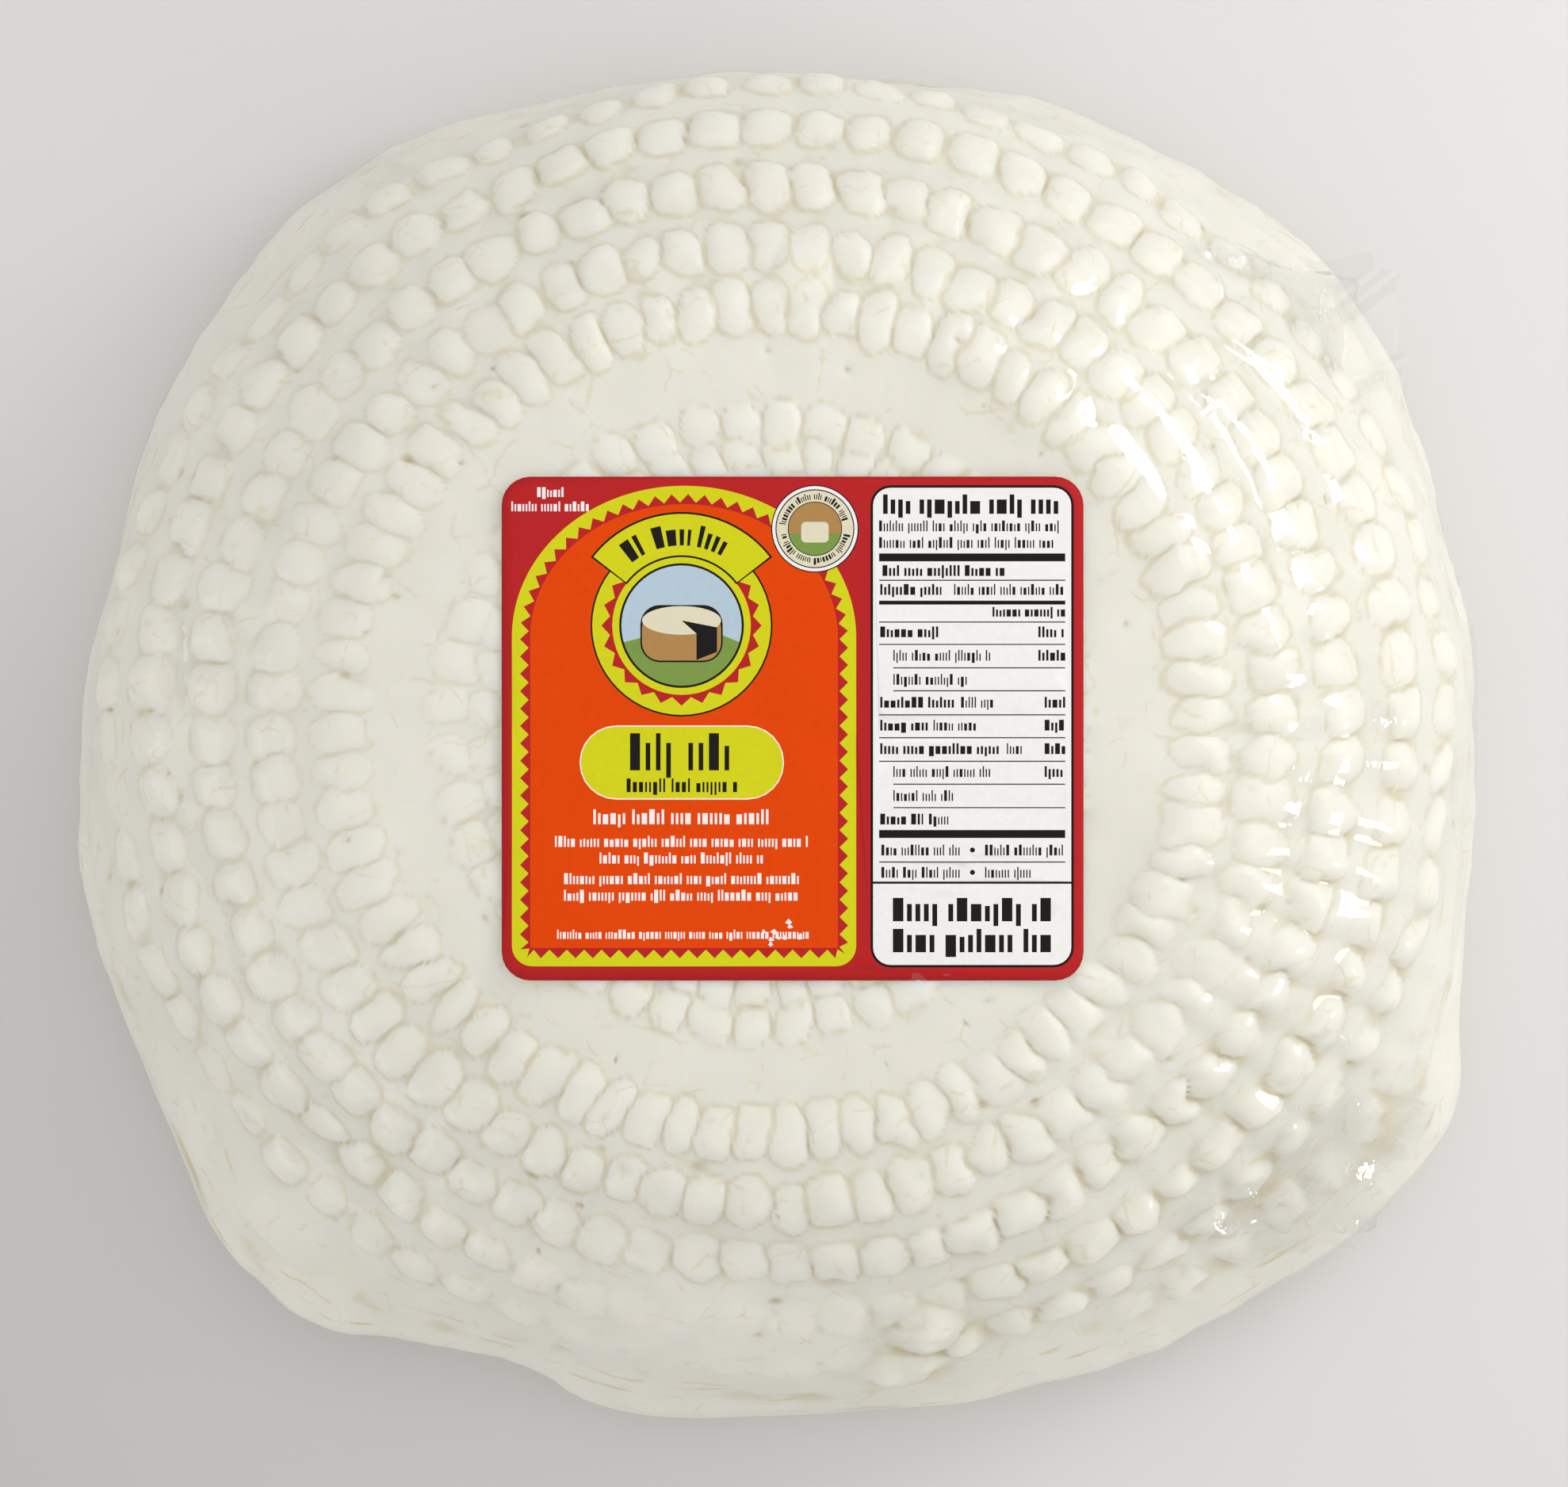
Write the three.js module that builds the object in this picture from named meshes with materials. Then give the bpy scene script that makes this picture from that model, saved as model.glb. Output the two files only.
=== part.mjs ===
// A wheel of fresh white cheese that was drained in a round slotted basket, turned out upside down and
// vacuum packed in a pouch of clear film, with a printed label stuck on top. The basket's slots left rings of
// nubs on the top and on the sloping side. The pouch is two webs of film, over and under the wheel, that are
// sealed together round its side. Units are millimetres, +Z is up, and the origin is the middle of the base.

import * as THREE from "three";
import { mergeVertices } from "three/addons/utils/BufferGeometryUtils.js";

// Driving dimensions
const HEIGHT = 78; // from the surface that the pack stands on to the flat top of the cheese
const FOOT_RADIUS = 128; // of the widest part of the cheese, at a plain stretch of its outline
const FOOT_HEIGHT = 15; // of that widest part
const SHOULDER_HEIGHT = 43; // above which the outline is an oval, as the basket was
const OVALITY = 0.022; // the share that the oval is wider along X, and narrower along Y
const NUBS_PER_RING = 72;
const FILM_THICKNESS = 0.4; // about 0.1 in the real pack, and thicker here to be a sound solid
const GAP = 0.3; // between faces that touch in the real pack
const LOOSE_GAP = 0.7; // from the nubs' crests and the foot to the film, which has wider facets than they do
const SEAL_HEIGHT = 28;
const SEAL_WIDTH = 1.6;
const LABEL = { width: 101.6, depth: 88, corner: 5, thickness: 0.15, x: 2.5, y: -0.6 };
const LABEL_CORNER_STEPS = 6;

// The rings of slots, from the middle of the top outwards: where the middle of a slot was on the profile, how
// long it was along the profile, and how far the cheese was pressed out through it.
const RINGS = [
  { radius: 54.6, z: HEIGHT, length: 7, rise: 1.2 },
  { radius: 74.4, z: 76.8, length: 10, rise: 1.8 },
  { radius: 86.4, z: 72, length: 8, rise: 2.2 },
  { radius: 98, z: 64.5, length: 7.5, rise: 2.6 },
  { radius: 109.2, z: 54.8, length: 7.5, rise: 2.8 },
  { radius: 118, z: SHOULDER_HEIGHT, length: 7, rise: 2.4 },
];

// How far the foot of the wheel stands out past its plain radius, at angles in degrees from +X. The soft
// cheese was drawn out towards two corners of the pouch, at 225 and 328 degrees, and is pressed in round 92.
const FOOT_OUTLINE = [
  [0, 0], [20, 0.5], [39, 4], [60, -1.5], [75, -5], [92, -7.5], [108, -6], [126, 1], [150, 0.5], [165, -1.5],
  [180, 0], [198, 3], [212, 6.5], [222, 11.5], [231, 11.5], [239, 4], [248, -1.5], [256, 1.5], [270, -0.5],
  [284, 1], [298, 5], [312, 9.5], [322, 14], [330, 15.5], [337, 9], [346, 3], [360, 0],
];

// The corners of the pouch, where the seal runs out into an ear: angle in degrees, and length past the seal.
const EARS = [
  { angle: 40, length: 13 },
  { angle: 125, length: 4 },
  { angle: 225, length: 3 },
  { angle: 320, length: 10 },
];

const cheese = new THREE.MeshStandardMaterial({ color: 0xe6e3d4, roughness: 0.45, metalness: 0 });
const film = new THREE.MeshStandardMaterial({
  color: 0xf2f3ee, roughness: 0.08, metalness: 0, transparent: true, opacity: 0.25,
});
const printedLabel = new THREE.MeshStandardMaterial({ color: 0xbb2525, roughness: 0.35, metalness: 0 });

const nubPitch = (2 * Math.PI) / NUBS_PER_RING;

const footCurve = new THREE.CubicInterpolant(
  FOOT_OUTLINE.map(([angle]) => angle),
  FOOT_OUTLINE.map(([, out]) => out),
  1,
);
footCurve.settings = { endingStart: THREE.WrapAroundEnding, endingEnd: THREE.WrapAroundEnding };

// The share of its plain radius that a point of the wheel has: an oval above the shoulder, the foot's outline
// below it.
function spread(angle, z) {
  const degrees = THREE.MathUtils.euclideanModulo(THREE.MathUtils.radToDeg(angle), 360);
  const oval = 1 + OVALITY * Math.cos(2 * angle);
  const foot = 1 + footCurve.evaluate(degrees)[0] / FOOT_RADIUS;
  return THREE.MathUtils.lerp(foot, oval, THREE.MathUtils.smoothstep(z, FOOT_HEIGHT, SHOULDER_HEIGHT));
}

// How far the seal stands out at an angle: a narrow fin, or an ear at a corner of the pouch.
function finWidth(angle) {
  const apart = (ear) => {
    const turn = angle - THREE.MathUtils.degToRad(ear.angle);
    return Math.abs(Math.atan2(Math.sin(turn), Math.cos(turn)));
  };
  const ear = EARS.find((corner) => apart(corner) < nubPitch / 2);
  return SEAL_WIDTH + (ear?.length ?? 0);
}

// The way out of the solid at point i of a profile that runs from the top down.
function outward(profile, i) {
  const before = profile[Math.max(i - 1, 0)];
  const after = profile[Math.min(i + 1, profile.length - 1)];
  return new THREE.Vector2(before.y - after.y, after.x - before.x).normalize();
}

// A copy of a profile with every point moved outwards by the same distance. A point on the axis stays on it.
function grown(profile, distance) {
  return profile.map((point, i) => {
    const moved = outward(profile, i).multiplyScalar(distance).add(point);
    return point.x === 0 ? moved.setX(0) : moved;
  });
}

// A closed solid round +Z. Its stations run clockwise from the axis back to the axis, each with a point
// (radius, height), the rise of the nubs there, the height that its outline is taken from if that isn't its
// own, and whether it is on the seal's fin. crest(angle) is true where there is a nub.
function turned(stations, segments, crest = () => false) {
  const profile = stations.map((station) => station.point);
  const geometry = new THREE.LatheGeometry([...profile].reverse(), segments).rotateX(Math.PI / 2);
  const position = geometry.getAttribute("position");
  for (let n = 0; n < position.count; n += 1) {
    const i = profile.length - 1 - (n % profile.length);
    const { point, rise = 0, outlineHeight, onFin = false } = stations[i];
    const angle = Math.atan2(position.getY(n), position.getX(n));
    const surface = outward(profile, i).multiplyScalar(crest(angle) ? rise : 0).add(point);
    const outline = spread(angle, outlineHeight ?? surface.y);
    const radius = surface.x * outline + (onFin ? finWidth(angle) : 0);
    position.setXYZ(n, radius * Math.cos(angle), radius * Math.sin(angle), surface.y);
  }
  geometry.deleteAttribute("normal");
  geometry.deleteAttribute("uv");
  return withoutSlivers(mergeVertices(geometry, 1e-4));
}

// Drops the triangles of no area that a turned solid has where its profile meets the axis.
function withoutSlivers(geometry) {
  const corners = geometry.getIndex().array;
  const kept = [];
  for (let t = 0; t < corners.length; t += 3) {
    const [a, b, c] = corners.slice(t, t + 3);
    if (a !== b && b !== c && c !== a) kept.push(a, b, c);
  }
  geometry.setIndex(kept);
  return geometry;
}

function piece(name, geometry, material) {
  const mesh = new THREE.Mesh(geometry, material);
  mesh.name = name;
  return mesh;
}

const ringPoints = RINGS.map(({ radius, z }) => new THREE.Vector2(radius, z));

// The side of the wheel below its last ring, down to the edge of its flat base.
const sidePoints = [
  [122.2, 33], [126, 23], [FOOT_RADIUS, FOOT_HEIGHT], [125.5, 5], [118, FILM_THICKNESS + GAP],
].map(([radius, z]) => new THREE.Vector2(radius, z));

// The valley above each ring, and the two ends of the crest of its nubs.
function ringStations() {
  return RINGS.flatMap(({ length, rise }, i) => {
    const middle = ringPoints[i];
    const above = ringPoints[i - 1] ?? new THREE.Vector2(middle.x - 2 * length, HEIGHT);
    const below = ringPoints[i + 1] ?? sidePoints[0];
    const halfCrest = below.clone().sub(above).setLength(length / 4);
    return [
      { point: above.clone().lerp(middle, 0.5) },
      { point: middle.clone().sub(halfCrest), rise },
      { point: middle.clone().add(halfCrest), rise },
    ];
  });
}

function cheeseWheel() {
  const stations = [
    { point: new THREE.Vector2(0, HEIGHT) },
    ...ringStations(),
    ...sidePoints.map((point) => ({ point })),
    { point: new THREE.Vector2(0, FILM_THICKNESS + GAP) },
  ];
  const crest = (angle) => Math.abs(angle / nubPitch - Math.round(angle / nubPitch)) < 0.25;
  return piece("cheese_wheel", turned(stations, 2 * NUBS_PER_RING, crest), cheese);
}

// The outer face of the film over the wheel, from the middle of its top to the seal. It spans the crests.
function upperFace() {
  const crests = RINGS.map(({ rise }, i) => {
    const clear = rise + LOOSE_GAP + FILM_THICKNESS;
    return outward([...ringPoints, ...sidePoints], i).multiplyScalar(clear).add(ringPoints[i]);
  });
  const top = new THREE.Vector2(0, crests[0].y);
  const wall = new THREE.Vector2(FOOT_RADIUS - 1, SEAL_HEIGHT + GAP / 2 + FILM_THICKNESS);
  return [top, ...crests, wall];
}

// The outer face of the film under the wheel, from the seal to the middle of its base.
function lowerFace() {
  const foot = grown(sidePoints.slice(1), LOOSE_GAP + FILM_THICKNESS).slice(1, -1);
  const wall = new THREE.Vector2(FOOT_RADIUS - 1, SEAL_HEIGHT - GAP / 2 - FILM_THICKNESS);
  const baseEdge = new THREE.Vector2(118, 0);
  return [wall, ...foot, baseEdge, new THREE.Vector2(0, 0)];
}

// The stations of a web of film. Its inner face ends level with its seal, and has its outer face's outline.
function webStations(outer, wall, innerZ) {
  const outerFace = outer.map((point) => ({ point }));
  const edge = [wall.y, innerZ].map((z) => ({
    point: new THREE.Vector2(wall.x, z), outlineHeight: wall.y, onFin: true,
  }));
  const innerFace = grown(outer, -FILM_THICKNESS).map((point, i) => ({
    point: outer[i] === wall ? new THREE.Vector2(wall.x - FILM_THICKNESS, innerZ) : point,
    outlineHeight: outer[i].y,
  }));
  return { outerFace, edge, innerFace };
}

function filmOver() {
  const outer = upperFace();
  const wall = outer[outer.length - 1];
  const { outerFace, edge, innerFace } = webStations(outer, wall, wall.y - FILM_THICKNESS);
  const stations = [...outerFace, ...edge, ...innerFace.reverse()];
  return piece("film_over", turned(stations, NUBS_PER_RING), film);
}

function filmUnder() {
  const outer = lowerFace();
  const wall = outer[0];
  const { outerFace, edge, innerFace } = webStations(outer, wall, wall.y + FILM_THICKNESS);
  const stations = [...innerFace.reverse(), ...edge.reverse(), ...outerFace];
  return piece("film_under", turned(stations, NUBS_PER_RING), film);
}

function label() {
  const { width, depth, corner, thickness } = LABEL;
  const [x, y] = [width / 2, depth / 2];
  const outline = new THREE.Shape()
    .moveTo(corner - x, -y)
    .absarc(x - corner, corner - y, corner, -Math.PI / 2, 0)
    .absarc(x - corner, y - corner, corner, 0, Math.PI / 2)
    .absarc(corner - x, y - corner, corner, Math.PI / 2, Math.PI)
    .absarc(corner - x, corner - y, corner, Math.PI, 1.5 * Math.PI);
  const settings = { depth: thickness, bevelEnabled: false, curveSegments: LABEL_CORNER_STEPS };
  const mesh = piece("label", new THREE.ExtrudeGeometry(outline, settings), printedLabel);
  mesh.position.set(LABEL.x, LABEL.y, upperFace()[0].y + GAP);
  return mesh;
}

const pack = new THREE.Group();
pack.add(cheeseWheel(), filmOver(), filmUnder(), label());

export default pack;
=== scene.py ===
"""A wheel of fresh white cheese, moulded in a slotted basket and vacuum packed in clear film, with a label.

The cheese, the two webs of film and the label are each one mesh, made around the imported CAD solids. Lengths
in this script are millimetres until mesh_object() turns them to metres. The cheese and the film share one
grid: rows run down the wheel's profile from the middle of the top, and columns run round it from +X.
"""

import math

import bpy
import numpy as np
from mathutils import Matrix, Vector
from mathutils.geometry import delaunay_2d_cdt


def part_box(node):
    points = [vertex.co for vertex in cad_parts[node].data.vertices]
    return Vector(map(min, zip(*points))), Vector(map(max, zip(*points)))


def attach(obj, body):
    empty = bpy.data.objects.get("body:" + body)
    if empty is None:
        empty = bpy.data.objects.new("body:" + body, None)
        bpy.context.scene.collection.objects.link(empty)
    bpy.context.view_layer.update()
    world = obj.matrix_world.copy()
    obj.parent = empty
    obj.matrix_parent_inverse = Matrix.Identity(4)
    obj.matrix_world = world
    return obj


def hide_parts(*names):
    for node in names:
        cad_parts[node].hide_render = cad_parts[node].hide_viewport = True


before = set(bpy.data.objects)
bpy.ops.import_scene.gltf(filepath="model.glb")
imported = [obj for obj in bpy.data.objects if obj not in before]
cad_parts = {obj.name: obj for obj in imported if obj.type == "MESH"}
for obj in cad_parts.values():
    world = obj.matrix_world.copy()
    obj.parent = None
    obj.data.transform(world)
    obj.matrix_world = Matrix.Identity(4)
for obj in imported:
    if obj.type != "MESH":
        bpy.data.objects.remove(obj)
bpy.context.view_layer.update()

MM = 0.001
TURN = 2 * math.pi


def corners(node):
    """The lowest and highest corner of a CAD node, in mm."""
    return np.array(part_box(node)) / MM


WHEEL_HIGH = corners("cheese_wheel")[1]
SEAL_Z = corners("film_over")[0][2]
LABEL_LOW, LABEL_HIGH = corners("label")

# The wheel, as the CAD solid has it, but with its base down on the film that lies on the table
INNER_RISE = 1.2  # of the nubs on the flat top
TOP_Z = WHEEL_HIGH[2] - INNER_RISE
BASE_Z = 0.2
FOOT_RADIUS = WHEEL_HIGH[0]
FOOT_Z = 15.0
SHOULDER_Z = 43.0
OVALITY = 0.022
FOOT_OUTLINE = [  # degrees from +X, and how far the foot stands out there
    (0, 0), (20, 0.5), (39, 4), (60, -1.5), (75, -5), (92, -7.5), (108, -6), (126, 1), (150, 0.5),
    (165, -1.5), (180, 0), (198, 3), (212, 6.5), (222, 11.5), (231, 11.5), (239, 4), (248, -1.5),
    (256, 1.5), (270, -0.5), (284, 1), (298, 5), (312, 9.5), (322, 14), (330, 15.5), (337, 9), (346, 3),
    (360, 0),
]
PROFILE = [  # radius and height, down the skin from the middle of the top to the middle of the base
    (0, TOP_Z), (30, TOP_Z), (54.6, TOP_Z), (65, TOP_Z - 0.3), (74.4, TOP_Z - 1.3), (86.4, TOP_Z - 6),
    (98, TOP_Z - 13.6), (109.2, TOP_Z - 23.3), (118, SHOULDER_Z), (122.4, 33), (126, 23),
    (FOOT_RADIUS, FOOT_Z), (126.5, 6), (121, BASE_Z + 0.6), (114, BASE_Z), (60, BASE_Z), (0, BASE_Z),
]

# The grid of the cheese and the film
COLUMNS = 792
ROW_STEPS = [  # radius or height down to which rows lie this far apart, in mm along the profile
    ("top", 40, 8.0), ("top", 66, 1.3),
    ("side", SHOULDER_Z - 6, 0.93), ("side", 12, 2.2), ("side", BASE_Z, 3.2),
]
BASE_ROWS = 4


# ---------------------------------------------------------------- curves and fields

def smooth_curve(points, samples):
    """A Catmull-Rom curve through points, as that many samples evenly spaced along its length."""
    points = np.array(points, float)
    ends = np.vstack([2 * points[0] - points[1], points, 2 * points[-1] - points[-2]])
    fine = []
    for a, b, c, d in zip(ends, ends[1:], ends[2:], ends[3:]):
        t = np.linspace(0, 1, 40, endpoint=False)[:, None]
        fine.append(0.5 * (2 * b + (c - a) * t + (2 * a - 5 * b + 4 * c - d) * t**2
                           + (3 * b - a - 3 * c + d) * t**3))
    fine = np.vstack(fine + [points[-1:]])
    steps = np.linalg.norm(np.diff(fine, axis=0), axis=1)
    along = np.concatenate([[0], np.cumsum(steps)])
    even = np.linspace(0, along[-1], samples)
    return even, np.column_stack([np.interp(even, along, fine[:, k]) for k in range(fine.shape[1])])


def smoothstep(x, low, high):
    t = np.clip((x - low) / (high - low), 0, 1)
    return t * t * (3 - 2 * t)


def apart(angle, other):
    """The signed angle in degrees from other to angle, in degrees, the short way round."""
    return (angle - other + 180) % 360 - 180


def around(angle, middle, reach):
    """A smooth hump: 1 at the middle angle, 0 past its reach, in degrees."""
    return 1 - smoothstep(np.abs(apart(angle, middle)), 0, reach)


def waves(points, wavelength, seed, stretch=(1, 1, 1), count=28):
    """A smooth random field of about unit size, at points in mm, that varies over the wavelength."""
    random = np.random.default_rng(seed)
    ways = random.normal(size=(count, 3))
    ways /= np.linalg.norm(ways, axis=1)[:, None]
    lengths = wavelength * random.uniform(0.6, 1.5, count)
    starts = random.uniform(0, TURN, count)
    scaled = points / np.array(stretch)
    field = np.zeros(points.shape[:-1])
    for way, length, start in zip(ways, lengths, starts):
        field += np.cos(scaled @ way * (TURN / length) + start)
    return field * math.sqrt(2 / count)


# ---------------------------------------------------------------- the grid

def row_places(along, radius, height):
    """How far down the profile each row of the grid lies."""
    foot = int(np.argmax(radius))
    rows = [0.0]
    for side, limit, step in ROW_STEPS:
        if side == "top":
            end = along[np.searchsorted(radius[:foot], limit)]
        else:
            end = along[np.argmax(height <= limit + 0.02)]
        count = max(1, round((end - rows[-1]) / step))
        rows += list(np.linspace(rows[-1], end, count + 1)[1:])
    rows += list(np.linspace(rows[-1], along[-1], BASE_ROWS + 1)[1:])
    return np.array(rows)


def make_grid():
    """The wheel's bare skin by row and column: place down the profile, angle, points and outward normals."""
    along, curve = smooth_curve(PROFILE, 4000)
    rows = row_places(along, curve[:, 0], curve[:, 1])
    radius = np.interp(rows, along, curve[:, 0])
    height = np.interp(rows, along, curve[:, 1])
    slope = np.gradient(curve, along, axis=0)
    normal_r = np.interp(rows, along, -slope[:, 1])
    normal_z = np.interp(rows, along, slope[:, 0])
    theta = np.arange(COLUMNS) * TURN / COLUMNS
    degrees = np.degrees(theta)
    _, outline = smooth_curve(FOOT_OUTLINE, 2000)
    foot = 1 + np.interp(degrees, outline[:, 0], outline[:, 1]) / FOOT_RADIUS
    oval = 1 + OVALITY * np.cos(2 * theta)
    share = smoothstep(height, FOOT_Z, SHOULDER_Z)[:, None]
    spread = foot[None, :] * (1 - share) + oval[None, :] * share
    out = radius[:, None] * spread
    level = np.repeat(height[:, None], COLUMNS, 1)
    points = np.stack([out * np.cos(theta), out * np.sin(theta), level], -1)
    size = np.hypot(normal_r, normal_z)[:, None]
    normals = np.stack([normal_r[:, None] / size * np.cos(theta), normal_r[:, None] / size * np.sin(theta),
                        np.repeat(normal_z[:, None] / size, COLUMNS, 1)], -1)
    return {"rows": rows, "radius": radius, "height": height, "theta": theta, "degrees": degrees,
            "points": points, "normals": normals, "along": along, "curve": curve}


GRID = make_grid()


def place_of(radius):
    """How far down the profile the top side has that radius."""
    foot = int(np.argmax(GRID["curve"][:, 0]))
    return float(np.interp(radius, GRID["curve"][:foot, 0], GRID["along"][:foot]))


# ---------------------------------------------------------------- the cheese's relief

# The rings of nubs: radius of the ring, nubs in it, a nub's width, length and rise, and how far and which
# way the ring is off centre.
RINGS = [
    {"radius": 47.6, "count": 45, "width": 6.1, "length": 6.4, "rise": 0.7, "shift": (2.6, 170)},
    {"radius": 53.8, "count": 45, "width": 7.0, "length": 7.2, "rise": 0.85, "shift": (2.6, 170)},
    {"radius": 74.2, "count": 72, "width": 6.4, "length": 11.4, "rise": 1.0, "shift": (1.6, 150)},
    {"radius": 86.2, "count": 72, "width": 7.6, "length": 10.8, "rise": 1.1, "shift": (1.2, 160)},
    {"radius": 97.8, "count": 72, "width": 8.4, "length": 10.8, "rise": 1.25, "shift": (0.8, 170)},
    {"radius": 109.0, "count": 72, "width": 8.9, "length": 10.6, "rise": 1.35, "shift": (0.5, 180)},
    {"radius": 118.0, "count": 72, "width": 8.7, "length": 9.6, "rise": 1.25, "shift": (0, 0)},
    {"radius": 122.6, "count": 72, "width": 8.4, "length": 8.6, "rise": 1.1, "shift": (0, 0)},
]
NUB_PHASE = math.radians(1.2)  # the angle of one column of nubs


def nub_strength(degrees, ring):
    """How boldly the nubs stand out round the wheel: flattened on the left, knobbly at the lower right."""
    outer = smoothstep(ring["radius"], 80, 100)
    bold = 1.0 - 0.25 * around(degrees, 170, 70) + (0.15 + 0.5 * outer) * around(degrees, 318, 48)
    faded = 0.85 * smoothstep(ring["radius"], 88, 118) * around(degrees, 264, 36)
    if ring["radius"] > 120:
        return bold * around(degrees, 316, 34)
    return bold * (1 - faded)


def nub_shapes(ring, number):
    """Half the width and length of each nub in a ring, its rise, and how far it is aside, down and askew."""
    random = np.random.default_rng(100 + number)
    count = ring["count"]
    wide = ring["width"] / 2 * random.uniform(0.9, 1.06, count)
    long = ring["length"] / 2 * random.uniform(0.88, 1.06, count)
    rise = ring["rise"] * random.uniform(0.8, 1.12, count)
    aside = random.normal(0, 0.22, count)
    down = random.normal(0, 0.35, count)
    joined = random.random(count) < 0.08
    weak = random.random(count) < 0.05
    wide[joined] *= 1.16
    rise[weak] *= 0.5
    return wide, long, rise, aside, down, random.normal(0, 0.06, count)


def ring_relief(ring, number, skew, slide):
    """One ring's nubs over the whole grid, in mm, and 0 to 1 for how near their outlines are. skew and
    slide warp the outlines a little."""
    wide, long, rise, aside, down, lean = nub_shapes(ring, number)
    count = ring["count"]
    pitch = TURN / count
    shift, way = ring["shift"]
    degrees = GRID["degrees"]
    middle = place_of(ring["radius"]) + shift * np.cos(np.radians(degrees - way))
    near = np.round((GRID["theta"] - NUB_PHASE) / pitch).astype(int)
    strength = nub_strength(degrees, ring)
    soft = around(degrees, 322, 50)[None, :]
    reach = ring["length"] + 6
    use = np.abs(GRID["rows"] - place_of(ring["radius"])) < reach
    arc = GRID["radius"][use][:, None]
    sliding = GRID["rows"][use][:, None] - middle[None, :] + slide[use]
    found, rim = np.zeros(sliding.shape), np.zeros(sliding.shape)
    for step in (-1, 0, 1):
        nub = (near + step) % count
        centre = NUB_PHASE + (near + step) * pitch
        across = (GRID["theta"] - centre)[None, :] * arc - aside[nub] + skew[use] + sliding * lean[nub]
        u = np.abs(across) / wide[nub]
        v = np.abs(sliding - down[nub]) / long[nub]
        edge = (u**2.7 + v**2.7) ** (1 / 2.7)
        dome = np.clip(1 - edge**(2.6 - 0.7 * soft), 0, 1) ** (0.72 + 0.15 * soft)
        tilt = 1 + 0.15 * np.clip((sliding - down[nub]) / long[nub], -1, 1)
        found = np.maximum(found, dome * rise[nub] * tilt)
        rim = np.maximum(rim, np.exp(-((edge - 1.02) / 0.13) ** 2))
    relief, outline = np.zeros((2, len(GRID["rows"]), COLUMNS))
    relief[use] = found * strength
    outline[use] = rim * np.clip(strength, 0, 1) * (1 - 0.4 * soft)
    return relief, outline


def pits(seed, count, radius, depth, rings):
    """Small round holes, at random places down and round the wheel between two radii."""
    random = np.random.default_rng(seed)
    relief = np.zeros((len(GRID["rows"]), COLUMNS))
    rows = GRID["rows"]
    for _ in range(count):
        place = random.uniform(place_of(rings[0]), place_of(rings[1]))
        angle = random.uniform(0, 360)
        size = radius * random.uniform(0.5, 1.3)
        near = np.abs(rows - place) < 3 * size
        arc = np.radians(apart(GRID["degrees"], angle))[None, :] * GRID["radius"][near][:, None]
        stretch = random.uniform(0.5, 1.8)
        gap = np.hypot(arc / stretch, (rows[near] - place)[:, None])
        relief[near] -= depth * random.uniform(0.4, 1) * np.exp(-((gap / size) ** 2))
    return relief


def blob(degrees, radius, size, height, sharp=2.0):
    """A lump or, with a height below 0, a hollow, size (round, down) in mm, at an angle and radius."""
    rows = GRID["rows"]
    arc = np.radians(apart(GRID["degrees"], degrees))[None, :] * GRID["radius"][:, None]
    down = (rows - place_of(radius))[:, None]
    gap = np.hypot(arc / size[0], down / size[1])
    return height * np.exp(-(gap**sharp))


def curd_lump(points):
    """A torn scrap of curd, folded and pressed against the side near the lower edge."""
    body = np.maximum(blob(284.0, 114.0, (5.6, 7.0), 4.6, 3), blob(281.2, 120.0, (7.4, 5.0), 4.0, 3))
    body = np.maximum(body, blob(286.6, 118.5, (3.6, 4.4), 3.0, 3))
    torn = 1 + 0.1 * waves(points, 8, 13) + 0.05 * waves(points, 3.2, 14)
    return body * np.clip(torn, 0.4, 1.6)


def radial_ridges(skew):
    """Low ridges that join each column of nubs down the right-hand side, where the wheel slumped."""
    turned = GRID["theta"][None, :] + skew / np.maximum(GRID["radius"][:, None], 40) - NUB_PHASE
    ridge = (0.5 + 0.5 * np.cos(72 * turned)) ** 0.8
    side = around(GRID["degrees"], 332, 52)[None, :]
    rows = (smoothstep(GRID["radius"], 78, 90) * smoothstep(GRID["height"], 30, 44))[:, None]
    return 0.55 * ridge * side * rows


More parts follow.
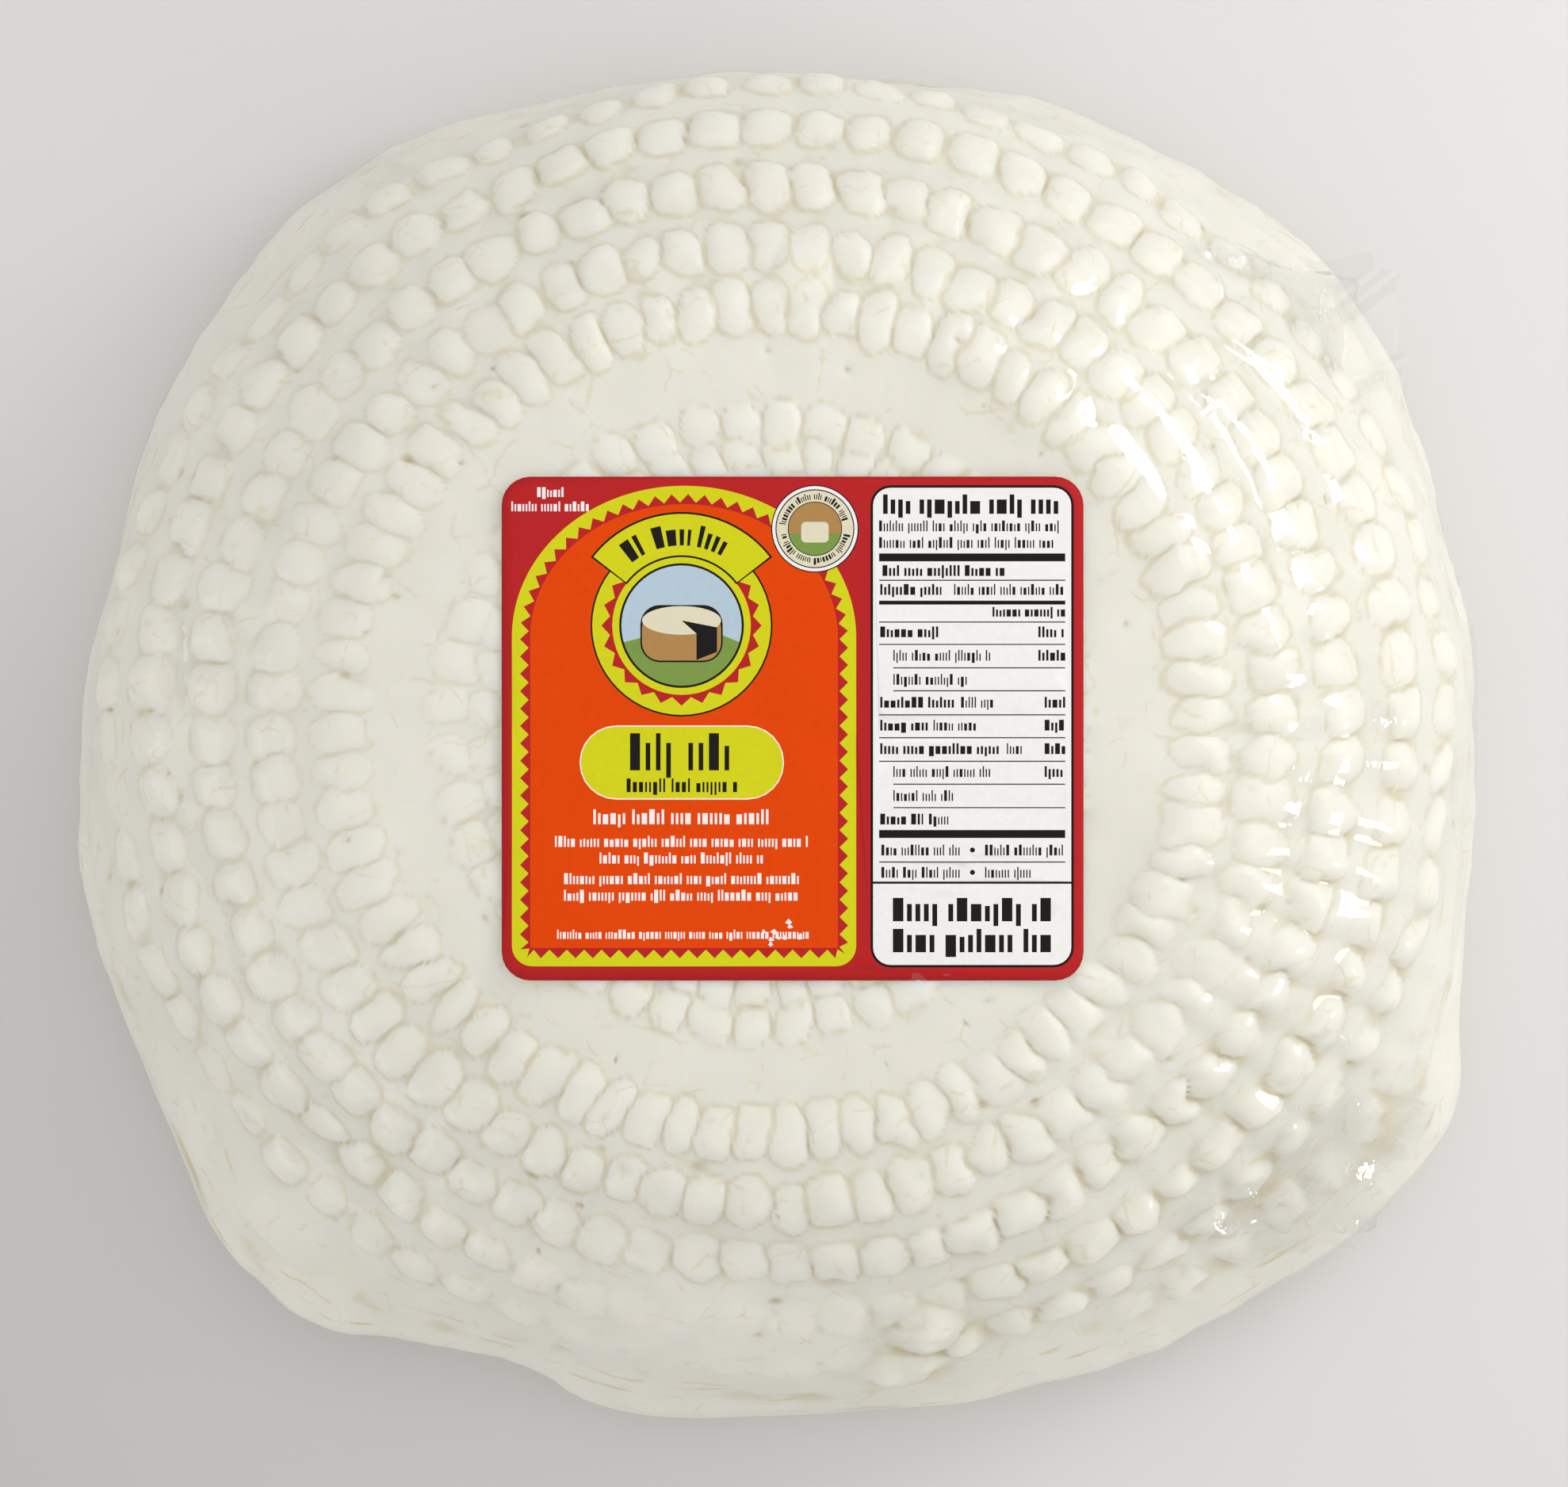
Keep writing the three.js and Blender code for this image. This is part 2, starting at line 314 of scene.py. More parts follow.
def cheese_relief():
    """How far the cheese stands out of its bare skin, in mm, and the outlines of its nubs."""
    points = GRID["points"]
    melted = around(GRID["degrees"], 322, 60)[None, :]
    skew = (0.35 + 0.25 * melted) * waves(points, 9, 1) + 0.1 * waves(points, 2.6, 2)
    slide = (0.4 + 0.35 * melted) * waves(points, 9, 3) + 0.12 * waves(points, 2.4, 4)
    ground = 0.5 * waves(points, 42, 5) + 0.16 * waves(points, 13, 6) + 0.04 * waves(points, 4.5, 7)
    top = 1 - smoothstep(GRID["radius"], 60, 75)[:, None] * (GRID["height"] > FOOT_Z)[:, None]
    ground = ground * (1 - 0.6 * top)
    low = 1 - smoothstep(GRID["height"], FOOT_Z, SHOULDER_Z - 4)[:, None]
    ground += low * 0.25 * waves(points, 9, 8, stretch=(5, 5, 1))
    dents = blob(224, 113, (11, 6), -1.6) + blob(232, 98, (9, 5), -1.1) + blob(229, 106, (12, 5), -1.0)
    ground += dents
    nubs, outlines = np.zeros_like(ground), np.zeros_like(ground)
    for number, ring in enumerate(RINGS):
        relief, outline = ring_relief(ring, number, skew, slide)
        nubs, outlines = np.maximum(nubs, relief), np.maximum(outlines, outline)
    nubs = np.maximum(nubs, blob(87, 82, (5.2, 9), 1.3, 4))
    nubs = np.maximum(nubs, radial_ridges(skew))
    holes = pits(11, 130, 0.7, 0.8, (60, 124)) + pits(12, 34, 1.2, 0.9, (76, 126))
    base = (GRID["height"] < 1.5)[:, None]
    skin = ground + np.maximum(nubs, curd_lump(points)) + holes
    return np.where(base, 0.03 * waves(points, 6, 10), skin), outlines


def rolled(field, reach, pick):
    """The field with each value replaced by the largest or smallest within reach columns of it."""
    found = field.copy()
    for step in range(1, reach + 1):
        found = pick(found, pick(np.roll(field, step, 1), np.roll(field, -step, 1)))
    return found


def slid(field, reach, pick):
    """As rolled(), but up and down the profile."""
    padded = np.pad(field, ((reach, reach), (0, 0)), mode="edge")
    found = field.copy()
    for step in range(2 * reach + 1):
        found = pick(found, padded[step:step + len(field)])
    return found


def blurred(field, round_reach, down_reach):
    """The field averaged twice over that many columns and rows each way."""
    for _ in range(2):
        total = sum(np.roll(field, step, 1) for step in range(-round_reach, round_reach + 1))
        field = total / (2 * round_reach + 1)
        padded = np.pad(field, ((down_reach, down_reach), (0, 0)), mode="edge")
        total = sum(padded[step:step + len(field)] for step in range(2 * down_reach + 1))
        field = total / (2 * down_reach + 1)
    return field


# ---------------------------------------------------------------- the film's relief

FILM_GAP = 0.14  # the film's outer face stands this far off the cheese

# Folds of the film that stand up along a line: its two ends in plan, its half width and its height, in mm
FOLDS = [
    # at the upper right, up to the long ear
    ((70, 86), (95, 80), 2.8, 2.4), ((93, 80), (107, 80), 3.0, 3.2), ((97, 70), (106, 78), 2.8, 2.4),
    ((103, 60), (113, 66), 2.4, 1.8),
    # at the lower right, round the tent of slack film
    ((66, -89), (94, -88.5), 2.6, 2.2), ((94, -88.5), (110, -91), 3.2, 3.2),
    ((94, -88.5), (111, -79), 2.8, 3.0), ((102, -66), (115, -80), 3.0, 3.0),
    ((88, -80), (94, -88.5), 2.6, 2.0), ((78, -96), (100, -93), 2.6, 2.0), ((116, -52), (113, -70), 2.4, 1.8),
    # at the upper left, the left and the lower left
    ((-61, 97), (-76, 104), 2.4, 1.4), ((-66, 94), (-79, 99), 2.2, 1.2), ((-118, 40), (-119, 12), 2.4, 0.9),
    ((-104, 28), (-105, 2), 2.6, 0.9), ((-112, 62), (-119, 44), 2.2, 0.7), ((-84, 74), (-98, 54), 2.2, 0.6),
    ((-70, -104), (-92, -90), 2.4, 0.8), ((-30, -117), (-60, -108), 2.4, 0.7),
]
# Crumpled patches of film: how many small folds, then the ranges of angle, radius, length, half width and
# height
CRUMPLES = [
    (16, (306, 331), (112, 136), (5, 12), (1.4, 2.2), (0.9, 2.0)),
    (12, (29, 46), (108, 131), (5, 11), (1.3, 2.0), (0.8, 1.8)),
    (7, (120, 130), (108, 126), (4, 9), (1.3, 1.8), (0.6, 1.2)),
    (14, (14, 44), (92, 116), (4, 9), (1.2, 1.8), (0.35, 0.7)),
    (8, (216, 236), (108, 128), (5, 12), (1.4, 2.0), (0.3, 0.7)),
]


def small_folds():
    """The folds of the crumpled patches, at random places and turns."""
    random = np.random.default_rng(25)
    folds = []
    for count, angles, radii, lengths, widths, heights in CRUMPLES:
        for _ in range(count):
            angle, turned = math.radians(random.uniform(*angles)), random.uniform(0, math.pi)
            radius, half = random.uniform(*radii), random.uniform(*lengths) / 2
            middle = np.array([radius * math.cos(angle), radius * math.sin(angle)])
            way = half * np.array([math.cos(turned), math.sin(turned)])
            folds.append((middle - way, middle + way, random.uniform(*widths), random.uniform(*heights)))
    return folds


def fold(start, end, width, height):
    """One fold of the film, sharp along its line and fading to its ends, on the upper side of the pack."""
    plan = GRID["points"][..., :2]
    start, end = np.array(start, float), np.array(end, float)
    run = end - start
    share = np.clip((plan - start) @ run / (run @ run), 0, 1)
    gap = np.linalg.norm(plan - start - share[..., None] * run, axis=-1)
    fade = smoothstep(np.minimum(share, 1 - share), -0.12, 0.3)
    upper = smoothstep(GRID["height"], FOOT_Z - 6, FOOT_Z + 4)[:, None]
    return height * np.clip(1 - gap / width, 0, 1) ** 1.4 * fade * upper


def film_relief(cheese):
    """How far the film stands out of the wheel's bare skin: tight on the nubs, and bridging some gaps."""
    degrees = GRID["degrees"][None, :]
    radius = GRID["radius"][:, None]
    points = GRID["points"]
    # the skin that the film would have, pulled straight over the gaps round the wheel, down it, and both ways
    ringwise = rolled(rolled(cheese, 10, np.maximum), 10, np.minimum)
    downwise = slid(slid(cheese, 8, np.maximum), 8, np.minimum)
    both = slid(slid(ringwise, 6, np.maximum), 6, np.minimum)
    upper_right = around(degrees, 34, 26) * smoothstep(radius, 66, 74)
    right = around(degrees, 358, 26) * smoothstep(radius, 66, 72)
    left = around(degrees, 152, 48) * smoothstep(radius, 90, 100)
    base = 0.22 + 0.1 * waves(points, 25, 21)
    film = cheese + np.clip(base, 0.1, 0.5) * (blurred(both, 1, 1) - cheese)
    film = np.maximum(film, cheese + upper_right * (blurred(ringwise, 6, 0) - cheese))
    film = np.maximum(film, cheese + right * (blurred(downwise, 1, 3) - cheese) * 0.85)
    film = np.maximum(film, cheese + left * (blurred(downwise, 1, 2) - cheese) * 0.6)
    tent = blob(319, 121, (17, 9), 2.6, 3) + blob(38, 121, (9, 8), 1.6, 3)
    lifts = [fold(*line) for line in FOLDS + small_folds()]
    crumple = np.clip(waves(points, 5, 23) + 0.6 * waves(points, 2.6, 24), -1.5, 1.5)
    side = smoothstep(GRID["height"], 8, 30)[:, None]
    film = cheese + (blurred(np.maximum(film, cheese), 1, 1) - cheese) * side
    film = film + tent * (1 + 0.12 * crumple) + np.max(lifts, axis=0) * (1 + 0.15 * crumple)
    return np.maximum(film, cheese) + FILM_GAP * (0.3 + 0.7 * side)


# The sealed edge of the pouch: where it runs out into an ear, in degrees, half the ear's width in degrees,
# and its length in mm
EARS = [
    (36.5, 5.5, 10.5), (31.5, 4.0, 4.0), (126, 4.0, 3.4), (225, 4.5, 2.2), (319.5, 5.5, 6.5), (327, 5.0, 4.5),
]
FIN_STEPS = 6


def fin_points(seal_line):
    """Rows of points across the pouch's sealed edge, from the seal line out, with its waves and pleats."""
    degrees = GRID["degrees"]
    width = 0.02 + 1.8 * around(degrees, 4, 52)
    for angle, reach, length in EARS:
        width = width + length * around(degrees, angle, reach) ** 0.8
    out = np.column_stack([np.cos(GRID["theta"]), np.sin(GRID["theta"]), np.zeros(COLUMNS)])
    width = width * (1 + 0.06 * waves(seal_line, 16, 31))
    arc = GRID["theta"] * FOOT_RADIUS
    sway = 0.12 * waves(seal_line, 17, 32)
    rows = []
    for share in np.linspace(0, 1, FIN_STEPS):
        pleat = 0.012 * np.sin(arc * TURN / 6 + 3 * share)
        rise = width * share * (sway + pleat)
        rows.append(seal_line + out * (width * share)[:, None] + np.array([0, 0, 1]) * rise[:, None])
    return np.array(rows)


# ---------------------------------------------------------------- meshes

def mesh_object(name, vertices, faces, materials, face_materials=None):
    """A mesh object from vertices in mm."""
    mesh = bpy.data.meshes.new(name)
    mesh.from_pydata((np.asarray(vertices) * MM).tolist(), [], [list(map(int, face)) for face in faces])
    for material in materials:
        mesh.materials.append(material)
    if face_materials is not None:
        mesh.polygons.foreach_set("material_index", np.asarray(face_materials, np.int32))
    mesh.polygons.foreach_set("use_smooth", [True] * len(mesh.polygons))
    mesh.update()
    thing = bpy.data.objects.new(name, mesh)
    bpy.context.scene.collection.objects.link(thing)
    return thing


def grid_faces(rows, start=0):
    """Quads between rows of a closed ring of COLUMNS points, facing out where rows run down the outside."""
    column = np.arange(COLUMNS)
    after = (column + 1) % COLUMNS
    faces = []
    for row in range(rows - 1):
        a = start + row * COLUMNS
        b = a + COLUMNS
        faces.append(np.column_stack([a + column, b + column, b + after, a + after]))
    return np.vstack(faces)


def capped(points, first_pole, last_pole):
    """Vertices and faces of a skin of rows, with its first or last row closed by one point in its middle."""
    rows = len(points)
    vertices = list(points.reshape(-1, 3))
    faces = list(grid_faces(rows))
    column = np.arange(COLUMNS)
    after = (column + 1) % COLUMNS
    if first_pole:
        vertices.append(points[0].mean(0))
        faces += list(np.column_stack([np.full(COLUMNS, len(vertices) - 1), column, after]))
    if last_pole:
        vertices.append(points[-1].mean(0))
        last = (rows - 1) * COLUMNS
        faces += list(np.column_stack([np.full(COLUMNS, len(vertices) - 1), last + after, last + column]))
    return vertices, faces


def add_attribute(thing, name, values):
    """A number for each vertex that a material can read."""
    layer = thing.data.attributes.new(name, "FLOAT", "POINT")
    padded = np.zeros(len(thing.data.vertices), np.float32)
    padded[:len(values)] = values
    layer.data.foreach_set("value", padded)


# ---------------------------------------------------------------- materials

def linear(hex_colour):
    """An sRGB hex colour as linear RGBA."""
    parts = [int(hex_colour[i:i + 2], 16) / 255 for i in (1, 3, 5)]
    return [p / 12.92 if p <= 0.04045 else ((p + 0.055) / 1.055) ** 2.4 for p in parts] + [1.0]


def node(tree, kind, settings=None, **links):
    """Adds a node. settings sets its properties and sockets, and links joins its sockets to outputs."""
    made = tree.nodes.new(kind)
    for key, value in (settings or {}).items():
        if key in made.inputs:
            made.inputs[key].default_value = value
        else:
            setattr(made, key, value)
    for key, output in links.items():
        socket = made.inputs[int(key[1:])] if key[0] == "i" and key[1:].isdigit() else made.inputs[key]
        tree.links.new(output, socket)
    return made


def new_material(name):
    """An empty node material, its tree and its output node."""
    material = bpy.data.materials.new(name)
    material.use_nodes = True
    tree = material.node_tree
    tree.nodes.clear()
    return material, tree, tree.nodes.new("ShaderNodeOutputMaterial")


def ramp(tree, factor, stops):
    """A colour ramp through (place, hex colour) stops."""
    made = node(tree, "ShaderNodeValToRGB", Fac=factor)
    elements = made.color_ramp.elements
    while len(elements) < len(stops):
        elements.new(0.5)
    for element, (place, colour) in zip(elements, stops):
        element.position = place
        element.color = linear(colour)
    return made.outputs["Color"]


CURD = ("#f7f5eb", "#f4f2e7")
# Grey painted into the valleys between the nubs as shade
VALLEY_SHADE = "#e5e5d8"
# Whey tint for the crevices round the nubs, darkened there as painted shade
WHEY_AND_SHADE = "#ddd0a6"


def pressed_curd(tree, where):
    """The curd's colour: white and a little cloudy on the crests of the nubs, greyed between them by painted
    shade.
    """
    cloudy = node(tree, "ShaderNodeTexNoise", {"Scale": 1 / (22 * MM), "Detail": 3.0}, Vector=where)
    curd = ramp(tree, cloudy.outputs["Fac"], [(0.3, CURD[0]), (0.7, CURD[1])])
    valley_shade = node(tree, "ShaderNodeAttribute", {"attribute_name": "valley_shade"}).outputs["Fac"]
    painted_valley_shade = node(tree, "ShaderNodeMapRange", {"To Max": 0.5}, Value=valley_shade)
    tone = node(tree, "ShaderNodeMix", {"data_type": "RGBA"}, Factor=painted_valley_shade.outputs["Result"], i6=curd)
    tone.inputs[7].default_value = linear(VALLEY_SHADE)
    return tone.outputs[2]


def whey_stain_and_shade(tree, uneven):
    """How far the crevices round the nubs take the whey tint, and the painted shade that darkens them with
    it.
    """
    crevice = node(tree, "ShaderNodeAttribute", {"attribute_name": "crevice"}).outputs["Fac"]
    depth = node(tree, "ShaderNodeMath", {"operation": "MULTIPLY_ADD"}, i0=uneven.outputs["Fac"],
                 i2=crevice)
    depth.inputs[1].default_value = 0.3
    stain_and_shade_share = node(tree, "ShaderNodeMapRange", {"From Min": 0.42, "From Max": 1.05, "To Max": 0.75},
                 Value=depth.outputs["Value"])
    return stain_and_shade_share.outputs["Result"]


def knit_lines(tree, where, uneven):
    """Patches of fine lines, about 11 mm apart, where one curd knits to the next."""
    warped = node(tree, "ShaderNodeVectorMath", {"operation": "MULTIPLY_ADD"},
                  i0=uneven.outputs["Color"], i2=where)
    warped.inputs[1].default_value = (3 * MM, 3 * MM, 3 * MM)
    cells = node(tree, "ShaderNodeTexVoronoi", {"feature": "DISTANCE_TO_EDGE", "Scale": 1 / (11 * MM)},
                 Vector=warped.outputs["Vector"])
    line = node(tree, "ShaderNodeMapRange", {"From Max": 0.035, "To Min": 1.0, "To Max": 0.0},
                Value=cells.outputs["Distance"])
    patch = node(tree, "ShaderNodeMapRange", {"From Min": 0.5, "From Max": 0.62, "To Max": 0.4},
                 Value=uneven.outputs["Fac"])
    knit = node(tree, "ShaderNodeMath", {"operation": "MULTIPLY"}, i0=line.outputs["Result"],
                i1=patch.outputs["Result"])
    return knit.outputs["Value"]


def level_cracks(tree, where):
    """Short level cracks between the layers of curd, from 42 mm up down to the foot."""
    level = node(tree, "ShaderNodeMapping", {"Scale": (1.0, 1.0, 7.0)}, Vector=where)
    layers = node(tree, "ShaderNodeTexNoise", {"Scale": 1 / (14 * MM), "Detail": 3.0},
                  Vector=level.outputs["Vector"])
    cracked = node(tree, "ShaderNodeMapRange", {"From Min": 0.64, "From Max": 0.7, "To Max": 0.7},
                   Value=layers.outputs["Fac"])
    height = node(tree, "ShaderNodeSeparateXYZ", Vector=where)
    foot = node(tree, "ShaderNodeMapRange", {"From Min": 42 * MM, "From Max": 26 * MM},
                Value=height.outputs["Z"])
    crack = node(tree, "ShaderNodeMath", {"operation": "MULTIPLY"}, i0=cracked.outputs["Result"],
                 i1=foot.outputs["Result"])
    return crack.outputs["Value"]


def fresh_curd():
    """Moist white curd, pressed smooth against a basket: soft light inside it, crevices with whey tint and
    painted shade, and fine knit lines between the curds that open into short level cracks near the foot."""
    material, tree, output = new_material("fresh_curd")
    where = node(tree, "ShaderNodeTexCoord").outputs["Object"]
    uneven = node(tree, "ShaderNodeTexNoise", {"Scale": 1 / (4 * MM), "Detail": 4.0}, Vector=where)
    lines = node(tree, "ShaderNodeMath", {"operation": "MAXIMUM"}, i0=knit_lines(tree, where, uneven),
                 i1=level_cracks(tree, where)).outputs["Value"]
    marked = node(tree, "ShaderNodeMath", {"operation": "MAXIMUM"}, i0=whey_stain_and_shade(tree, uneven), i1=lines)
    whey_tint_and_shade = node(tree, "ShaderNodeMix", {"data_type": "RGBA"}, Factor=marked.outputs["Value"],
                i6=pressed_curd(tree, where))
    whey_tint_and_shade.inputs[7].default_value = linear(WHEY_AND_SHADE)
    grain = node(tree, "ShaderNodeTexNoise", {"Scale": 1 / (0.9 * MM), "Detail": 3.0}, Vector=where)
    rough = node(tree, "ShaderNodeMath", {"operation": "SUBTRACT"}, i0=grain.outputs["Fac"], i1=lines)
    bump = node(tree, "ShaderNodeBump", {"Strength": 0.15, "Distance": 0.2 * MM},
                Height=rough.outputs["Value"])
    skin = node(tree, "ShaderNodeBsdfPrincipled", {
        "Roughness": 0.42, "IOR": 1.42, "Subsurface Weight": 1.0, "Subsurface Scale": 3.0 * MM,
        "Subsurface Radius": (1.0, 0.85, 0.6), "Subsurface Anisotropy": 0.3,
    }, Normal=bump.outputs["Normal"])
    tree.links.new(whey_tint_and_shade.outputs[2], skin.inputs["Base Color"])
    tree.links.new(skin.outputs["BSDF"], output.inputs["Surface"])
    return material


def shrink_film():
    """Clear multilayer film, blown smooth and shrunk tight: hard bright reflections, and fine crumples and
    haze where it is slack."""
    material, tree, output = new_material("clear_shrink_film")
    where = node(tree, "ShaderNodeTexCoord").outputs["Object"]
    slack = node(tree, "ShaderNodeAttribute", {"attribute_name": "slack"}).outputs["Fac"]
    facing = node(tree, "ShaderNodeLayerWeight", {"Blend": 0.5}).outputs["Facing"]
    power = node(tree, "ShaderNodeMath", {"operation": "POWER"}, i0=facing)
    power.inputs[1].default_value = 5.0
    share = node(tree, "ShaderNodeMapRange", {"To Min": 0.065, "To Max": 0.11},
                 Value=power.outputs["Value"])
    squared = node(tree, "ShaderNodeMath", {"operation": "MULTIPLY"}, i0=slack, i1=slack)
    haze = node(tree, "ShaderNodeMath", {"operation": "MULTIPLY_ADD"}, i0=squared.outputs["Value"],
                i2=share.outputs["Result"])
    haze.inputs[1].default_value = 0.17
    creep = node(tree, "ShaderNodeTexNoise", {"Scale": 1 / (3.2 * MM), "Detail": 2.0}, Vector=where)
    crumple = node(tree, "ShaderNodeMapRange", {"To Min": 0.06, "To Max": 1.0},
                   Value=squared.outputs["Value"])
    bump = node(tree, "ShaderNodeBump", {"Distance": 0.5 * MM}, Height=creep.outputs["Fac"],
                Strength=crumple.outputs["Result"])
    clear = node(tree, "ShaderNodeBsdfTransparent", {"Color": (0.995, 0.995, 0.99, 1)})
    gloss = node(tree, "ShaderNodeBsdfGlossy", {"Roughness": 0.06}, Normal=bump.outputs["Normal"])
    mix = node(tree, "ShaderNodeMixShader", {}, Fac=haze.outputs["Value"], i1=clear.outputs["BSDF"],
               i2=gloss.outputs["BSDF"])
    tree.links.new(mix.outputs["Shader"], output.inputs["Surface"])
    return material


INKS = {
    "red": "#bd2527", "orange": "#e84800", "yellow": "#d9d81c", "white": "#f6f5f2", "black": "#1f1b1c",
    "sky": "#b9cfdc", "green": "#7f9c4a", "tan": "#b58a52", "cream": "#e6dfc2",
}


def coated_print(ink):
    """Ink printed on a smooth coated label: flat colour with a soft sheen and a faint unevenness."""
    material, tree, output = new_material("printed_" + ink)
    where = node(tree, "ShaderNodeTexCoord").outputs["Object"]
    fibre = node(tree, "ShaderNodeTexNoise", {"Scale": 1 / (1.2 * MM), "Detail": 3.0}, Vector=where)
    shade = node(tree, "ShaderNodeMapRange", {"To Min": 0.94, "To Max": 1.05}, Value=fibre.outputs["Fac"])
    colour = node(tree, "ShaderNodeHueSaturation", {"Color": linear(INKS[ink])},
                  Value=shade.outputs["Result"])
    sheet = node(tree, "ShaderNodeBsdfPrincipled", {"Roughness": 0.45, "Specular IOR Level": 0.08})
    tree.links.new(colour.outputs["Color"], sheet.inputs["Base Color"])
    tree.links.new(sheet.outputs["BSDF"], output.inputs["Surface"])
    return material


def label_paper():
    """The uncoated back and die-cut edge of the label: matt white paper with a fine fibre."""
    material, tree, output = new_material("label_paper")
    where = node(tree, "ShaderNodeTexCoord").outputs["Object"]
    fibre = node(tree, "ShaderNodeTexNoise", {"Scale": 1 / (0.5 * MM), "Detail": 4.0}, Vector=where)
    colour = ramp(tree, fibre.outputs["Fac"], [(0.3, "#e6e2d8"), (0.7, "#efece4")])
    sheet = node(tree, "ShaderNodeBsdfPrincipled", {"Roughness": 0.8})
    tree.links.new(colour, sheet.inputs["Base Color"])
    tree.links.new(sheet.outputs["BSDF"], output.inputs["Surface"])
    return material


# ---------------------------------------------------------------- the pieces

def finish_piece(thing, node_name):
    """Parents a piece to its body and hides the CAD node that it stands for."""
    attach(thing, "root")
    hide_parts(node_name)
    return thing


def cheese_wheel(relief, outlines):
    """The cheese, with the depth of its crevices and of the valleys between its nubs for its material, whose
    painted shade darkens both and whose whey tint colours the crevices.
    """
    points = GRID["points"] + GRID["normals"] * relief[:, :, None]
    vertices, faces = capped(points[1:-1], True, True)
    wheel = mesh_object("cheese", vertices, faces, [fresh_curd()])
    # Painted shade with a whey tint: the depth of the crevices and the nubs' outlines darken the curd there
    hollow = np.clip((blurred(relief, 2, 2) - relief) / 0.7, 0, 1)
    add_attribute(wheel, "crevice", np.maximum(hollow, 0.64 * outlines)[1:-1].reshape(-1))
    # Painted shade: how far each point lies below the nearby crests, which greys the valleys between the nubs
    crests = blurred(slid(rolled(relief, 5, np.maximum), 5, np.maximum), 3, 3)
    add_attribute(wheel, "valley_shade", np.clip((crests - relief) / 1.7, 0, 1)[1:-1].reshape(-1))
    return finish_piece(wheel, "cheese_wheel")


def film_webs(film, cheese, material):
    """The two webs of film, each with its own layer of the sealed edge."""
    points = GRID["points"] + GRID["normals"] * film[:, :, None]
    slack = np.clip((film - cheese - 0.35) / 1.2, 0, 1)
    seal = int(np.argmax(GRID["height"] < SEAL_Z))
    fin = fin_points(points[seal])
    for name, node_name, rows, poles, lift in (
        ("film_top_web", "film_over", slice(1, seal + 1), (True, False), 0.05),
        ("film_base_web", "film_under", slice(seal, -1), (False, True), -0.05),
    ):
        vertices, faces = capped(points[rows], *poles)
        loose = np.zeros(len(vertices))
        loose[:slack[rows].size] = slack[rows].ravel()
        faces += list(grid_faces(FIN_STEPS, len(vertices)))
        vertices += list((fin + np.array([0, 0, lift])).reshape(-1, 3))
        web = mesh_object(name, vertices, faces, [material])
        add_attribute(web, "slack", np.concatenate([loose, np.full(FIN_STEPS * COLUMNS, 0.2)]))
        finish_piece(web, node_name)


# ---------------------------------------------------------------- the label

PAPER = 0.15  # its thickness
LABEL_GAP = 0.1  # between the film's crests and the label
ARCH = {"left": -49.0, "right": 11.1, "top": 42.4, "spring": 16.0, "bottom": -41.5, "corner": 3.5}
MEDALLION = (-19.4, 18.0)
BADGE = (3.9, 34.9)

# Lines of dummy type: middle of the capitals, left end, right end, height of the capitals, boldness
FRONT_TYPE = [
    (41.3, -44.6, -40.0, 1.7, 1.2), (38.8, -49.1, -35.6, 1.7, 1.2), (-15.4, -34.8, -3.9, 2.6, 1.2),
    (-19.7, -41.5, 2.8, 1.9, 1.2), (-22.6, -33.7, -5.2, 1.9, 1.2), (-26.2, -39.9, 1.3, 1.9, 1.2),
    (-29.1, -39.9, 1.0, 1.9, 1.2), (-35.9, -41.1, 3.0, 1.6, 1.1),
]
PANEL_TYPE = [
    (39.2, 15.8, 46.5, 3.4, 1.7), (35.4, 15.1, 47.5, 1.9, 0.9), (32.5, 15.1, 45.5, 1.9, 0.9),
    (27.6, 15.7, 37.2, 1.9, 1.5), (24.3, 15.3, 26.0, 1.9, 1.5), (24.3, 28.2, 47.6, 1.9, 0.9),
    (20.4, 34.9, 47.6, 1.7, 1.5), (16.9, 15.3, 25.5, 1.9, 1.5), (12.8, 17.6, 34.9, 1.9, 0.9),
    (8.6, 17.6, 30.6, 1.9, 0.9), (4.6, 15.3, 28.5, 1.9, 1.5), (4.6, 29.4, 35.2, 1.9, 0.9),
    (0.6, 15.3, 23.8, 1.9, 1.5), (0.6, 24.6, 32.0, 1.9, 0.9), (-3.5, 15.3, 36.4, 1.9, 1.5),
    (-3.5, 37.4, 40.3, 1.9, 0.9), (-7.5, 17.6, 34.5, 1.9, 0.9), (-11.7, 17.6, 28.5, 1.9, 0.9),
    (-15.8, 15.3, 22.8, 1.9, 1.5), (-15.8, 23.8, 27.2, 1.9, 0.9), (-21.2, 15.5, 29.2, 1.9, 0.9),
    (-21.2, 33.6, 47.6, 1.9, 0.9), (-25.1, 15.5, 29.2, 1.9, 0.9), (-25.1, 33.6, 42.1, 1.9, 0.9),
    (-31.6, 17.5, 45.5, 4.1, 1.5), (-37.0, 17.5, 45.5, 4.1, 1.5),
    (16.9, 42.9, 47.6, 1.9, 1.5), (12.8, 42.9, 47.6, 1.9, 1.5), (4.6, 44.0, 47.6, 1.9, 1.5),
    (0.6, 44.0, 47.6, 1.9, 1.5), (-3.5, 44.0, 47.6, 1.9, 1.5), (-7.5, 44.0, 47.6, 1.9, 1.5),
]
